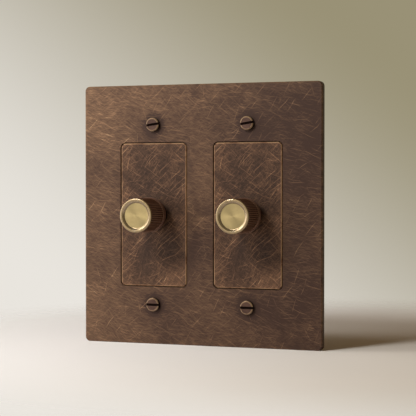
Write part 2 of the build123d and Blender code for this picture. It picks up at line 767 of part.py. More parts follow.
def switch_plunger():
    return turned([
        (0, PLUNGER_FRONT, 0),
        (HEAD_D / 2, PLUNGER_FRONT, FINE_EDGE_R),
        (HEAD_D / 2, PLUNGER_FLANGE_FRONT, 0),
        (PLUNGER_FLANGE_D / 2, PLUNGER_FLANGE_FRONT, 0),
        (PLUNGER_FLANGE_D / 2, BRIDGE_FRONT, 0),
        (STEM_D / 2, BRIDGE_FRONT, 0),
        (STEM_D / 2, STEM_BACK, EDGE_BREAK),
        (0, STEM_BACK, 0),
    ])


def contact_bridge():
    shape = RectangleRounded(BRIDGE_L, BRIDGE_W, BRIDGE_W / 3) - Circle(STEM_D / 2 + SLIDE_CLEAR)
    return slab(shape, BRIDGE_FRONT, BRIDGE_BACK)


def return_spring():
    """A compression spring from the bridge to the back of the switch case."""
    length = SWITCH_CEILING - BRIDGE_BACK - 2 * SPRING_SEAT - SPRING_WIRE_D
    start = BRIDGE_BACK + SPRING_SEAT + SPRING_WIRE_D / 2
    radius = (SPRING_D - SPRING_WIRE_D) / 2
    path = Helix(length / SPRING_TURNS, length, radius, center=(0, start, 0), direction=(0, 1, 0))
    section = Plane(origin=path @ 0, z_dir=path % 0) * Circle(SPRING_WIRE_D / 2)
    return sweep(section, path=path)


# Board and the components on it

def boss_places():
    return [(x, z) for x in (BOSS_X, -BOSS_X) for z in (BOSS_Z, -BOSS_Z)]


def capacitor_lead_places():
    return [(x, CAPACITOR_Z) for x in (-CAPACITOR_PITCH / 2, CAPACITOR_PITCH / 2)]


def winding_lead_places():
    """The wire's two ends leave the winding on either side of its gap."""
    lead_r = WINDING_R - WIRE_D / 2
    offset = WINDING_GAP_DEG / 2 + WINDING_LEAD_DEG
    points = [round_point(lead_r, 180 + side * offset) for side in (-1, 1)]
    return [(x, z + CHOKE_Z) for x, z in points]


def triac_leg_places():
    z = TRIAC_BODY_BOTTOM - TRIAC_LEG_DROP + TRIAC_LEG_T / 2
    return [(x, z) for x in (-TRIAC_LEG_PITCH, 0, TRIAC_LEG_PITCH)]


def circuit_board():
    inset = HOUSING_WALL + BOARD_CLEAR
    shape = RectangleRounded(HOUSING_W - 2 * inset, HOUSING_H - 2 * inset, BOARD_CORNER_R)
    board = slab(shape, BOARD_FRONT, BOARD_BACK)
    for x, z in boss_places():
        board -= rod(BOSS_D / 2 + BOARD_CLEAR, BOARD_FRONT, BOARD_BACK, x, z)
    half = POCKET_W / 2 + HOUSING_WALL + BOARD_CLEAR
    for turn, z in TERMINAL_PLACES:
        notch = block(BOARD_NOTCH, HOUSING_W, BOARD_FRONT, BOARD_BACK, -half, half)
        board -= side_place(turn, z) * notch
    leads = track_pin_places() + capacitor_lead_places() + winding_lead_places()
    leads += [(x, 0) for x in contact_places()]
    for x, z in leads:
        board -= rod(PIN_WIRE_D / 2 + PIN_HOLE_CLEAR, BOARD_FRONT, BOARD_BACK, x, z)
    for x, z in triac_leg_places():
        board -= rod(TRIAC_LEG_W / 2 + 2 * PIN_HOLE_CLEAR, BOARD_FRONT, BOARD_BACK, x, z)
    return board


def triac():
    """A tab package: the metal tab lies on the strap and three legs bend back to the board."""
    half = TRIAC_W / 2
    tab = block(-half, half, 0, TRIAC_TAB_T, TRIAC_BODY_TOP, TRIAC_TOP)
    tab -= rod(FIXING_D / 2 + FIXING_CLEAR, 0, TRIAC_TAB_T, 0, TRIAC_TAB_Z)
    body = block(-half, half, 0, TRIAC_BODY_T, TRIAC_BODY_BOTTOM, TRIAC_BODY_TOP)
    body = chamfer(body.edges().filter_by(Axis.X).sort_by(Axis.Y)[-2:], TRIAC_BEVEL)
    piece = tab + body
    outer_z = TRIAC_BODY_BOTTOM - TRIAC_LEG_DROP
    inner_z = outer_z + TRIAC_LEG_T
    leg_back_y = TRIAC_LEG_Y + TRIAC_LEG_T
    bend = TRIAC_LEG_BEND_R
    outline = FilletPolyline(
        (TRIAC_LEG_Y, TRIAC_BODY_BOTTOM), (TRIAC_LEG_Y, outer_z), (PIN_BACK, outer_z),
        (PIN_BACK, inner_z), (leg_back_y, inner_z), (leg_back_y, TRIAC_BODY_BOTTOM),
        radius=[0, bend + TRIAC_LEG_T, 0, 0, bend, 0], close=True,
    )
    leg = extrude(Plane.YZ * make_face(outline), amount=TRIAC_LEG_W / 2, both=True)
    for x, _ in triac_leg_places():
        piece += Pos(x, 0, 0) * leg
    return piece


def choke_core():
    ring = slab(
        Circle(CORE_D / 2) - Circle(CORE_HOLE_D / 2),
        CHOKE_MIDDLE_Y - CORE_L / 2, CHOKE_MIDDLE_Y + CORE_L / 2,
    )
    return Pos(0, 0, CHOKE_Z) * fillet(ring.edges().filter_by(GeomType.CIRCLE), CORE_EDGE_R)


def winding_profile():
    """The winding seen along its axis: one scallop for each turn, outside and inside."""
    covered = 360 - WINDING_GAP_DEG
    start = 180 + WINDING_GAP_DEG / 2
    step = covered / WINDING_TURNS
    inner_r = CORE_HOLE_D / 2 - WIRE_D
    outside, inside = [], []
    for turn in range(WINDING_TURNS):
        angle = start + turn * step
        outside.append(round_point(WINDING_R - WIRE_D / 3, angle))
        outside.append(round_point(WINDING_R, angle + step / 2))
        inside.append(round_point(inner_r + WIRE_D / 3, angle))
        inside.append(round_point(inner_r, angle + step / 2))
    outside.append(round_point(WINDING_R - WIRE_D / 3, start + covered))
    inside.append(round_point(inner_r + WIRE_D / 3, start + covered))
    return make_face(Polyline(*outside, *reversed(inside), close=True))


def choke_winding():
    """The turns as one coil with its two ends bent back to the board."""
    half = CORE_L / 2
    coil = slab(winding_profile(), CHOKE_MIDDLE_Y - half - WIRE_D, BOARD_FRONT)
    core_room = Circle(CORE_D / 2 + WINDING_CLEAR) - Circle(CORE_HOLE_D / 2 - WINDING_CLEAR)
    coil -= slab(
        core_room, CHOKE_MIDDLE_Y - half - WINDING_CLEAR, CHOKE_MIDDLE_Y + half + WINDING_CLEAR
    )
    coil = Pos(0, 0, CHOKE_Z) * coil
    for x, z in winding_lead_places():
        coil += rod(PIN_WIRE_D / 2, BOARD_FRONT - WIRE_D, PIN_BACK, x, z)
    return coil


def capacitor():
    half_w, half_h = CAPACITOR_W / 2, CAPACITOR_H / 2
    body = block(
        -half_w, half_w, BOARD_FRONT - CAPACITOR_L, BOARD_FRONT,
        CAPACITOR_Z - half_h, CAPACITOR_Z + half_h,
    )
    rear = body.faces().sort_by(Axis.Y)[-1].edges()
    body = fillet([edge for edge in body.edges() if edge not in rear], CAPACITOR_EDGE_R)
    for x, z in capacitor_lead_places():
        body += rod(PIN_WIRE_D / 2, BOARD_FRONT, PIN_BACK, x, z)
    return body


# Housing

def insulating_sheet():
    shape = RectangleRounded(
        HOUSING_W - 2 * SHEET_INSET, HOUSING_H - 2 * SHEET_INSET, HOUSING_CORNER_R - SHEET_INSET
    )
    sheet = slab(shape, 0, SHEET_T)
    sheet -= rod(FLANGE_D / 2 + TRIAC_CUT_CLEAR, 0, SHEET_T)
    half = TRIAC_W / 2 + TRIAC_CUT_CLEAR
    sheet -= block(
        -half, half, 0, SHEET_T, TRIAC_BODY_BOTTOM - TRIAC_CUT_CLEAR, TRIAC_TOP + TRIAC_CUT_CLEAR
    )
    for x, z in boss_places():
        sheet -= rod(FIXING_D / 2 + FIXING_CLEAR, 0, SHEET_T, x, z)
    return sheet


def rear_housing():
    """A moulded box, open to the front, with corner bosses and a recess for each terminal."""
    outer = slab(RectangleRounded(HOUSING_W, HOUSING_H, HOUSING_CORNER_R), SHEET_T, HOUSING_BACK)
    outer = fillet(outer.faces().sort_by(Axis.Y)[-1].edges(), HOUSING_EDGE_R)
    cavity = RectangleRounded(
        HOUSING_W - 2 * HOUSING_WALL, HOUSING_H - 2 * HOUSING_WALL, HOUSING_CORNER_R - HOUSING_WALL
    )
    housing = outer - slab(cavity, SHEET_T, HOUSING_FLOOR)
    for x, z in boss_places():
        boss = rod(BOSS_D / 2, SHEET_T, HOUSING_FLOOR, x, z)
        boss += rod(BOSS_STEP_D / 2, BOARD_BACK, HOUSING_FLOOR, x, z)
        housing += boss & outer
    half = POCKET_W / 2
    for turn, z in TERMINAL_PLACES:
        place = side_place(turn, z)
        wall = block(
            BLOCK_INNER, HOUSING_W / 2 - HOUSING_WALL / 2, POCKET_FRONT - HOUSING_WALL, HOUSING_FLOOR,
            -half - HOUSING_WALL, half + HOUSING_WALL,
        )
        housing += place * wall
    for turn, z in TERMINAL_PLACES:
        place = side_place(turn, z)
        housing -= place * block(POCKET_FLOOR, HOUSING_W, POCKET_FRONT, HOUSING_BACK, -half, half)
        housing -= place * tail_room()
        clamp_hole = Pos(POCKET_FLOOR, CLAMP_Y, 0) * Rot(0, 90, 0) * Cylinder(
            CLAMP_SCREW_D / 2 + FIXING_CLEAR, 2 * (POCKET_FLOOR - BLOCK_INNER)
        )
        housing -= place * clamp_hole
    for x, z in boss_places():
        housing -= rod(FIXING_D / 2 + FIXING_CLEAR, SHEET_T, HOUSING_BACK, x, z)
        housing -= rod(FIXING_HEAD_D / 2 + FIXING_CLEAR, FIXING_SEAT, HOUSING_BACK, x, z)
    return housing


def tail_room():
    """The slot in a recess's wall for the terminal's tail."""
    half = TAIL_W / 2 + TAIL_CLEAR
    return block(
        BLOCK_INNER, POCKET_FLOOR, BOARD_FRONT - TERMINAL_T - TAIL_CLEAR, BOARD_FRONT + TAIL_CLEAR,
        -half, half,
    )


def terminal():
    """A brass plate on the recess's floor, with a tail that lies on the board."""
    half = TERMINAL_W / 2
    piece = block(POCKET_FLOOR, POCKET_FLOOR + TERMINAL_T, TERMINAL_FRONT, BOARD_FRONT, -half, half)
    piece += block(
        BOARD_NOTCH - TAIL_REACH, POCKET_FLOOR, BOARD_FRONT - TERMINAL_T, BOARD_FRONT,
        -TAIL_W / 2, TAIL_W / 2,
    )
    hole = Pos(POCKET_FLOOR, CLAMP_Y, 0) * Rot(0, 90, 0) * Cylinder(
        CLAMP_SCREW_D / 2 + TAP_CLEAR, 3 * TERMINAL_T
    )
    return piece - hole


def clamp_screw():
    """A terminal's screw, its head on the terminal plate."""
    under = POCKET_FLOOR + TERMINAL_T
    length = TERMINAL_T + HOUSING_WALL - RUN_GAP
    plain = screw(0, CLAMP_SCREW_D / 2, length, CLAMP_HEAD_D / 2, CLAMP_HEAD_H)
    slot = slab(Rectangle(2 * CLAMP_HEAD_D, CLAMP_SLOT_W), CLAMP_HEAD_H - CLAMP_SLOT_DEPTH, CLAMP_HEAD_H)
    return Pos(under, CLAMP_Y, 0) * Rot(0, 0, -90) * (plain - slot)


def terminals():
    return [side_place(turn, z) * terminal() for turn, z in TERMINAL_PLACES]


def terminal_screws():
    pieces = []
    for turn, z in TERMINAL_PLACES:
        pieces += in_gangs(side_place(turn, z) * clamp_screw())
    return pieces


def housing_screws():
    """Long screws from the housing's back into the strap."""
    length = FIXING_SEAT + STRAP_T - FIXING_SHORT
    plain = screw(FIXING_SEAT, FIXING_D / 2, length, FIXING_HEAD_D / 2, FIXING_HEAD_H)
    plain -= cross_slot(FIXING_SEAT + FIXING_HEAD_H, FIXING_HEAD_D / 3)
    pieces = []
    for x, z in boss_places():
        pieces += in_gangs(Pos(x, 0, z) * plain)
    return pieces


def triac_screws():
    length = TRIAC_TAB_T + STRAP_T - FIXING_SHORT
    plain = screw(TRIAC_TAB_T, FIXING_D / 2, length, FIXING_HEAD_D / 2, FIXING_HEAD_H)
    plain -= cross_slot(TRIAC_TAB_T + FIXING_HEAD_H, FIXING_HEAD_D / 3)
    return in_gangs(Pos(0, 0, TRIAC_TAB_Z) * plain)


def earth_screws():
    """One green screw in each strap, with a slot, for the earth wire."""
    plain = screw(0, EARTH_D / 2, STRAP_T - FIXING_SHORT, EARTH_HEAD_D / 2, EARTH_HEAD_H)
    slot = slab(Rectangle(2 * EARTH_HEAD_D, CLAMP_SLOT_W), EARTH_HEAD_H - CROSS_DEPTH, EARTH_HEAD_H)
    return in_gangs(Pos(EARTH_X, 0, EARTH_Z) * (plain - slot))


# Nodes

GANG_PIECES = {
    "insert": insert,
    "mounting_strap": mounting_strap,
    "insulating_sheet": insulating_sheet,
    "rear_housing": rear_housing,
    "circuit_board": circuit_board,
    "bushing": bushing,
    "lock_washer": lock_washer,
    "hex_nut": hex_nut,
    "control_case": control_case,
    "track_disc": track_disc,
    "rotor": rotor,
    "wiper": wiper,
    "shaft": shaft,
    "knob_body": knob_body,
    "knob_cap": knob_cap,
    "grub_screw": grub_screw,
    "switch_case": switch_case,
    "switch_contacts": switch_contacts,
    "switch_plunger": switch_plunger,
    "contact_bridge": contact_bridge,
    "return_spring": return_spring,
    "triac": triac,
    "choke_core": choke_core,
    "choke_winding": choke_winding,
    "capacitor": capacitor,
    "terminals": terminals,
}

SHARED_PIECES = {
    "wall_plate": wall_plate,
    "plate_screws": plate_screws,
    "housing_screws": housing_screws,
    "terminal_screws": terminal_screws,
    "triac_screws": triac_screws,
    "earth_screws": earth_screws,
}


def solids_of(piece):
    """The separate solids of a piece, which may be a list of like pieces."""
    parts = piece if isinstance(piece, list) else [piece]
    return [solid for part in parts for solid in part.solids()]


def as_one(solids):
    """One shape to write: like solids share a compound."""
    return solids[0] if len(solids) == 1 else Compound(solids)


def build():
    nodes = {name: as_one(solids_of(make())) for name, make in SHARED_PIECES.items()}
    for name, make in GANG_PIECES.items():
        solids = solids_of(make())
        for gang, x in GANGS.items():
            nodes[f"{gang}_{name}"] = as_one([Pos(x, 0, 0) * solid for solid in solids])
    return nodes


for node, shape in build().items():
    export_step(shape, f"parts/{node}.step")
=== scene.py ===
import bpy
import json
import math
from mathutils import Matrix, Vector

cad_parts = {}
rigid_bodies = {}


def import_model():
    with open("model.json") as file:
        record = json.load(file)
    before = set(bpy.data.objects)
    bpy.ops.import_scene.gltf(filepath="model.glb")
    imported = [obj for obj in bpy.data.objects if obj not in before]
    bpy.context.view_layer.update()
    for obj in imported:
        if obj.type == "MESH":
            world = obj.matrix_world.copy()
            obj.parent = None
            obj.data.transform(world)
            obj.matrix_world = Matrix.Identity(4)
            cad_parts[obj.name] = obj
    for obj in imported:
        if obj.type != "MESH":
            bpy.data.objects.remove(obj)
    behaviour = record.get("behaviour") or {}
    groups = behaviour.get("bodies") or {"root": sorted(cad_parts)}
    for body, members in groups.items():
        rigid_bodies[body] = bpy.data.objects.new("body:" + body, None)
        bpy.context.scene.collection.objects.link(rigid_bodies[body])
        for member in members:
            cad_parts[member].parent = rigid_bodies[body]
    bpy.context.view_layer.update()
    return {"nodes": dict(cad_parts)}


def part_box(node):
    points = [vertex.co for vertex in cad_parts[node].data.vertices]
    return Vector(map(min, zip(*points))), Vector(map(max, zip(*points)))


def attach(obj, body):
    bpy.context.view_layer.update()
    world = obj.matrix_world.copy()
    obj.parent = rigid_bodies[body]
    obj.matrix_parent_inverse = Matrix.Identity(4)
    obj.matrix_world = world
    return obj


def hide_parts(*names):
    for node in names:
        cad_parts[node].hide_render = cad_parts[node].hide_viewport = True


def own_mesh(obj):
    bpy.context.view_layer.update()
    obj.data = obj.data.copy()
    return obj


# A two-gang rotary dimmer switch in worn bronze, in metres. The front faces -Y, +Z is up.

for stray in list(bpy.data.objects):
    bpy.data.objects.remove(stray)
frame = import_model()
NODES = frame["nodes"]
GANGS = ("left", "right")

# Camera, as the photograph was taken
AZIMUTH = math.radians(20.63)
ELEVATION = math.radians(1.07)
DISTANCE = 0.6364
LENS_MM = 120.6
SENSOR_MM = 36.0
AIM = Vector((0.00392, -0.0035, 0.00325))

# Background, pale at the lower left of the photograph and darker towards its upper right.
# The world lights the part with its own tint, at the strength AMBIENT.
PALE = (233, 229, 222)
DUSKY = (153, 145, 118)
GLOW_RIGHT = 0.62
GLOW_UP = 0.82
GLOW_START = 0.30
GLOW_END = 1.30
AMBIENT = 0.11
AMBIENT_TINT = (255, 205, 135)

# Floor, which changes its tone from left to right and fades out round FADE_MIDDLE
FLOOR_R = 3.0
FLOOR_SIDES = 64
FLOOR_LEFT = (244, 244, 247)
FLOOR_RIGHT = (233, 227, 217)
FLOOR_TURN = (-0.10, 0.20)
FADE_MIDDLE = (0.06, 0.03, 0.0)
FADE_NEAR = 0.12
FADE_FAR = 0.27
FLOOR_GRAIN_SCALE = 900.0
FLOOR_RELIEF = 0.00003

# Lamps: azimuth and elevation in degrees, distance, width and height in metres, power in watts, colour
LAMPS = {
    "key": (-26, 37, 0.62, 0.18, 0.18, 2.50, (255, 253, 248)),
    "side": (-61, 10, 0.46, 0.44, 0.44, 1.22, (255, 251, 244)),
    "upper": (-68, 42, 0.50, 0.13, 0.46, 0.62, (255, 249, 240)),
    "rear": (-152, 4, 0.70, 0.40, 0.40, 0.80, (255, 240, 224)),
}

# Sizes of the part that the finishes need and the frame doesn't tell
SCREW_HEAD_R = 0.0032
THREAD_PITCH = 0.00079
KNOB_RING_L = 0.0028
CAP_RIM_W = 0.00105
DISH_TAPER = 0.00095


def linear(colour):
    """A 0 to 255 display colour as the linear values that a shader takes, with full alpha."""
    shares = [value / 255 for value in colour]
    return tuple(s / 12.92 if s <= 0.04045 else ((s + 0.055) / 1.055) ** 2.4 for s in shares) + (1.0,)


def direction(azimuth, elevation):
    """From the object towards a viewer or a lamp; azimuth 0 is the front."""
    flat = math.cos(elevation)
    return Vector((math.sin(azimuth) * flat, -math.cos(azimuth) * flat, math.sin(elevation)))


def place(thing, eye, target):
    thing.location = eye
    thing.rotation_mode = "QUATERNION"
    thing.rotation_quaternion = (target - eye).to_track_quat("-Z", "Y")
    bpy.context.scene.collection.objects.link(thing)


def add_camera():
    lens = bpy.data.cameras.new("camera")
    lens.lens = LENS_MM
    lens.sensor_width = SENSOR_MM
    lens.clip_start = DISTANCE / 100
    camera = bpy.data.objects.new("camera", lens)
    place(camera, AIM + DISTANCE * direction(AZIMUTH, ELEVATION), AIM)
    bpy.context.scene.camera = camera


def add_lamp(name, azimuth, elevation, distance, width, height, watts, colour):
    lamp = bpy.data.lights.new(name, "AREA")
    lamp.shape = "ELLIPSE"
    lamp.size = width
    lamp.size_y = height
    lamp.energy = watts
    lamp.color = linear(colour)[:3]
    towards = direction(math.radians(azimuth), math.radians(elevation))
    place(bpy.data.objects.new(name, lamp), AIM + distance * towards, AIM)


# Node trees

class Graph:
    """A node tree being built. Inputs are numbers, tuples or other nodes' outputs."""

    def __init__(self, tree):
        self.tree = tree

    def node(self, kind, inputs=None, **settings):
        made = self.tree.nodes.new(kind)
        for name, value in settings.items():
            setattr(made, name, value)
        for key, value in (inputs or {}).items():
            socket = made.inputs[key]
            if isinstance(value, bpy.types.NodeSocket):
                self.tree.links.new(value, socket)
            else:
                socket.default_value = value
        return made

    def math(self, operation, *values):
        return self.node("ShaderNodeMath", dict(enumerate(values)), operation=operation).outputs[0]

    def plus(self, first, second):
        return self.math("ADD", first, second)

    def minus(self, first, second):
        return self.math("SUBTRACT", first, second)

    def times(self, first, second):
        return self.math("MULTIPLY", first, second)

    def most(self, first, second):
        return self.math("MAXIMUM", first, second)

    def least(self, first, second):
        return self.math("MINIMUM", first, second)

    def gap(self, value, mark):
        """How far a value lies from a mark."""
        return self.math("ABSOLUTE", self.minus(value, mark))

    def length(self, x, z):
        return self.math("SQRT", self.math("MULTIPLY_ADD", x, x, self.times(z, z)))

    def summed(self, start, *parts):
        """The start and each value times its share."""
        total = start
        for value, share in parts:
            total = self.math("MULTIPLY_ADD", value, share, total)
        return total

    def step(self, value, low, high, start=0.0, end=1.0):
        """A smooth change from start to end as value goes from low to high."""
        inputs = {"Value": value, "From Min": low, "From Max": high, "To Min": start, "To Max": end}
        return self.node("ShaderNodeMapRange", inputs, interpolation_type="SMOOTHSTEP").outputs["Result"]

    def mix(self, share, first, second):
        inputs = {0: share, 6: first, 7: second}
        return self.node("ShaderNodeMix", inputs, data_type="RGBA").outputs[2]

    def noise(self, vector, scale, detail=2.0, roughness=0.5, distortion=0.0):
        """A noise from 0 to 1, mostly near the middle, with its scale in cycles per unit of the vector."""
        inputs = {
            "Vector": vector, "Scale": scale, "Detail": detail, "Roughness": roughness,
            "Distortion": distortion,
        }
        return self.node("ShaderNodeTexNoise", inputs).outputs[0]

    def dice(self, *cell):
        """Random values that belong to a cell, as a number and as a colour."""
        inputs = {"Vector": self.joined(*cell)}
        return self.node("ShaderNodeTexWhiteNoise", inputs, noise_dimensions="3D").outputs

    def turned(self, vector, angle):
        inputs = {"Vector": vector, "Angle": angle}
        return self.node("ShaderNodeVectorRotate", inputs, rotation_type="Z_AXIS").outputs[0]

    def vectors(self, operation, *values):
        return self.node("ShaderNodeVectorMath", dict(enumerate(values)), operation=operation).outputs

    def split(self, vector):
        return self.node("ShaderNodeSeparateXYZ", {0: vector}).outputs

    def joined(self, x, y, z=0.0):
        return self.node("ShaderNodeCombineXYZ", {0: x, 1: y, 2: z}).outputs[0]

    def warped(self, vector, scale, reach):
        """The vector moved about by a slow noise, by up to half of reach."""
        inputs = {"Vector": vector, "Scale": scale, "Detail": 1.0}
        drift = self.node("ShaderNodeTexNoise", inputs).outputs["Color"]
        return self.vectors("MULTIPLY_ADD", drift, (reach, reach, 0.0), vector)["Vector"]

    def spots(self, x, z, table):
        """Soft round patches: each row holds a place in metres, a radius and a weight."""
        total = 0.0
        for spot_x, spot_z, radius, weight in table:
            off = self.length(self.minus(x, spot_x), self.minus(z, spot_z))
            total = self.plus(total, self.step(off, 0.0, radius, weight, 0.0))
        return total

    def object_place(self):
        return self.node("ShaderNodeTexCoord").outputs["Object"]

    def bump(self, height, distance, strength=1.0, normal=None):
        inputs = {"Height": height, "Distance": distance, "Strength": strength}
        if normal is not None:
            inputs["Normal"] = normal
        return self.node("ShaderNodeBump", inputs).outputs[0]


# Scratches are drawn in the cells of a grid: rows of cells, each row shifted by up to ROW_SHIFT cells.
# A line runs somewhere in the middle of its cell and tapers over LINE_TAPER of its length at each end.
SWAY_SCALE = 55.0
ROW_SHIFT = 7.0
LINE_MARGIN = 0.25
LINE_TAPER = 0.3
FAINTEST_LINE = 0.3


def hairline_group():
    """Single scratches: one short bent line in some cells of a turned grid."""
    tree = bpy.data.node_groups.new("hairlines", "ShaderNodeTree")
    for name in ("Angle", "Length", "Pitch", "Width", "Bend", "Share", "Seed"):
        tree.interface.new_socket(name, in_out="INPUT", socket_type="NodeSocketFloat")
    tree.interface.new_socket("Place", in_out="INPUT", socket_type="NodeSocketVector")
    tree.interface.new_socket("Lines", in_out="OUTPUT", socket_type="NodeSocketFloat")
    graph = Graph(tree)
    given = graph.node("NodeGroupInput").outputs
    along, across, _ = graph.split(graph.turned(given["Place"], given["Angle"]))
    sway = graph.minus(graph.noise(given["Place"], SWAY_SCALE, detail=1.0), 0.5)
    across = graph.plus(across, graph.times(sway, given["Bend"]))
    rows = graph.math("DIVIDE", across, given["Pitch"])
    row = graph.math("FLOOR", rows)
    row_dice = graph.dice(row, given["Seed"])["Value"]
    cells = graph.summed(graph.math("DIVIDE", along, given["Length"]), (row_dice, ROW_SHIFT))
    cell = graph.math("FLOOR", cells)
    cell_dice = graph.dice(row, cell, given["Seed"])
    shift, slope, strength = graph.split(cell_dice["Color"])
    run = graph.minus(cells, cell)
    tilt = graph.times(graph.minus(slope, 0.5), graph.minus(run, 0.5))
    middle = graph.summed(graph.plus(tilt, LINE_MARGIN), (shift, 1.0 - 2 * LINE_MARGIN))
    off = graph.times(graph.gap(graph.minus(rows, row), middle), given["Pitch"])
    line = graph.step(off, 0.0, given["Width"], 1.0, 0.0)
    start = graph.step(run, 0.0, LINE_TAPER)
    end = graph.step(run, 1.0 - LINE_TAPER, 1.0, 1.0, 0.0)
    chosen = graph.math("LESS_THAN", cell_dice["Value"], given["Share"])
    weight = graph.times(chosen, graph.summed(FAINTEST_LINE, (strength, 1.0 - FAINTEST_LINE)))
    graph.node("NodeGroupOutput", {"Lines": graph.times(graph.times(line, graph.times(start, end)), weight)})
    return tree


HAIRLINES = hairline_group()


def hairlines(graph, flat, angle, length, pitch, width, share, seed):
    """Scratches at an angle in degrees, with sizes in metres and the share of cells that hold one."""
    inputs = {
        "Place": flat, "Angle": math.radians(angle), "Length": length, "Pitch": pitch, "Width": width,
        "Bend": length / 6, "Share": share, "Seed": seed,
    }
    return graph.node("ShaderNodeGroup", inputs, node_tree=HAIRLINES).outputs["Lines"]


def streaks(graph, flat, angle, width, stretch, seed):
    """Soft brushed streaks, narrow across and stretch times as long."""
    turned = graph.turned(flat, math.radians(angle))
    stretched = graph.vectors("MULTIPLY", turned, (1 / (width * stretch), 1 / width, 1.0))["Vector"]
    moved = graph.vectors("ADD", stretched, (seed, 2.7 * seed, seed))["Vector"]
    return graph.noise(moved, 1.0, detail=3.0, roughness=0.6, distortion=1.0)


# Materials

# Noise scales are in cycles a metre, and a relief is the height of a bump in metres. A RISE is the
# stretch of a value over which its effect comes up, and where it has four numbers, the last two are
# the effect at its ends.
SOFT_RISE = (0.3, 0.7)
GRAIN_RELIEF = 0.00001
GRAIN_STRENGTH = 0.5


def new_material(name):
    material = bpy.data.materials.new(name)
    material.use_nodes = True
    material.node_tree.nodes.clear()
    return material, Graph(material.node_tree)


def close_material(graph, **inputs):
    """The Principled shader and the output, with inputs by name, underscores for spaces."""
    named = {key.replace("_", " "): value for key, value in inputs.items()}
    shader = graph.node("ShaderNodeBsdfPrincipled", named)
    graph.node("ShaderNodeOutputMaterial", {"Surface": shader.outputs[0]})


def edge_distance(graph, x, z, half_width, half_height):
    """How far a point lies inside a rectangle about the axis."""
    in_x = graph.minus(half_width, graph.math("ABSOLUTE", x))
    in_z = graph.minus(half_height, graph.math("ABSOLUTE", z))
    return graph.least(in_x, in_z)


def off_axis(graph, x, z, axis_x, axis_z):
    """Distance from the nearest of the axes at plus or minus these places."""
    off_x = graph.minus(graph.math("ABSOLUTE", x), axis_x)
    off_z = graph.minus(graph.math("ABSOLUTE", z), axis_z)
    return graph.length(off_x, off_z)


def middle_and_half(name):
    """The x of a node's middle and half of its width."""
    low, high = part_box(name)
    return (low.x + high.x) / 2, (high.x - low.x) / 2


def screw_axis():
    """x and z of the plate screws, which lie alike on both sides of both axes."""
    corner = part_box("plate_screws")[1]
    return corner.x - SCREW_HEAD_R, corner.z - SCREW_HEAD_R


# Worn bronze of the plate and the inserts

# Scale and reach of the bends, how the patches and streaks add up, and how the sides stay dark
BENDS = ((34.0, 0.0065), (140.0, 0.0012))
MOTTLE_SCALE = 48.0
MOTTLE_RISE = (0.34, 0.68)
MOTTLE = 0.07
STREAK_RISE = (0.42, 0.76)
STREAK_CLUSTER_SCALE = 75.0
STREAK_CLUSTER_STEP = 22.0
STREAK_CLUSTER_RISE = (0.28, 0.66, 0.2, 1.0)
SCRATCH_CLUSTER_SCALE = 58.0
SCRATCH_CLUSTER_STEP = 17.0
SCRATCH_CLUSTER_RISE = (0.38, 0.60, 0.15, 1.55)
STREAKS_PLAIN = 0.75
STREAKS_LEAST = 0.3
STREAKS_BY_PATCH = 2.2
TONE_BY_PATCH = 0.55
SIDE_START = 0.0004
SIDE_END = 0.0010
SIDE_SHARE = 0.3
SHINE = (202, 176, 138)
SHINE_RISE = (0.75, 1.0, 0.0, 0.35)
WORN_RELIEF = 0.00003

# Smoked and rubbed tone
PLATE_TONES = ((61, 43, 36), (150, 117, 90))
INSERT_TONES = ((44, 31, 26), (156, 117, 90))

# Streaks: angle in degrees, width in metres, length in widths, share
PLATE_LAYERS = [
    (18, 0.00056, 10, 0.36), (-4, 0.00050, 12, 0.30), (36, 0.00054, 9, 0.24), (-40, 0.00058, 8, 0.20),
    (56, 0.00066, 8, 0.14),
]
INSERT_LAYERS = [
    (-44, 0.00052, 8, 0.36), (36, 0.00050, 8, 0.30), (8, 0.00052, 9, 0.22), (-72, 0.00052, 8, 0.20),
    (64, 0.00052, 8, 0.14),
]

# Scratches: angle, length, pitch and width, share of cells that hold one, weight
PLATE_SCRATCHES = [
    (16, 0.010, 0.0024, 0.00018, 0.50, 0.32), (2, 0.009, 0.0024, 0.00017, 0.50, 0.28),
    (30, 0.011, 0.0032, 0.00018, 0.45, 0.34), (-46, 0.010, 0.0044, 0.00017, 0.40, 0.46),
    (-60, 0.009, 0.0052, 0.00017, 0.40, 0.46), (70, 0.010, 0.0080, 0.00017, 0.30, 0.34),
]
INSERT_SCRATCHES = [
    (-40, 0.012, 0.0018, 0.00017, 0.55, 0.50), (-54, 0.010, 0.0017, 0.00016, 0.50, 0.46),
    (38, 0.012, 0.0022, 0.00017, 0.50, 0.44), (16, 0.011, 0.0028, 0.00016, 0.45, 0.38),
    (-14, 0.011, 0.0028, 0.00016, 0.45, 0.40), (-76, 0.010, 0.0036, 0.00016, 0.40, 0.42),
]

# Patches placed where the photograph is lighter or darker: x, z, radius, weight
# The lighter patches at the left and the darker ones at the right are painted light and shade, and partly a
# patina rubbed more at the left; the darker ones round the screws and the one between the inserts are
# painted shade.
PLATE_PATINA_AND_PAINTED_LIGHT = [
    (-0.058, 0.056, 0.050, 0.23), (-0.064, -0.004, 0.034, 0.13), (-0.056, -0.052, 0.040, 0.18),
    (-0.010, 0.056, 0.036, 0.06), (0.002, 0.016, 0.022, 0.11), (0.012, -0.054, 0.026, 0.02),
    (0.052, 0.034, 0.056, -0.18), (0.050, -0.040, 0.046, -0.16), (0.001, -0.014, 0.016, -0.11),
    (-0.02302, 0.03867, 0.015, -0.09), (0.02602, 0.03867, 0.015, -0.06),
    (-0.02002, -0.04467, 0.016, -0.09), (0.02602, -0.04467, 0.016, -0.06),
]
# On the inserts, the darker patch below and to the right of the knob is its painted shadow.
INSERT_PATCHES_AND_SHADOW = [
    (0.002, 0.018, 0.020, -0.05), (0.010, -0.030, 0.012, 0.15), (-0.012, -0.031, 0.010, 0.09),
    (0.007, -0.014, 0.016, -0.10),
]
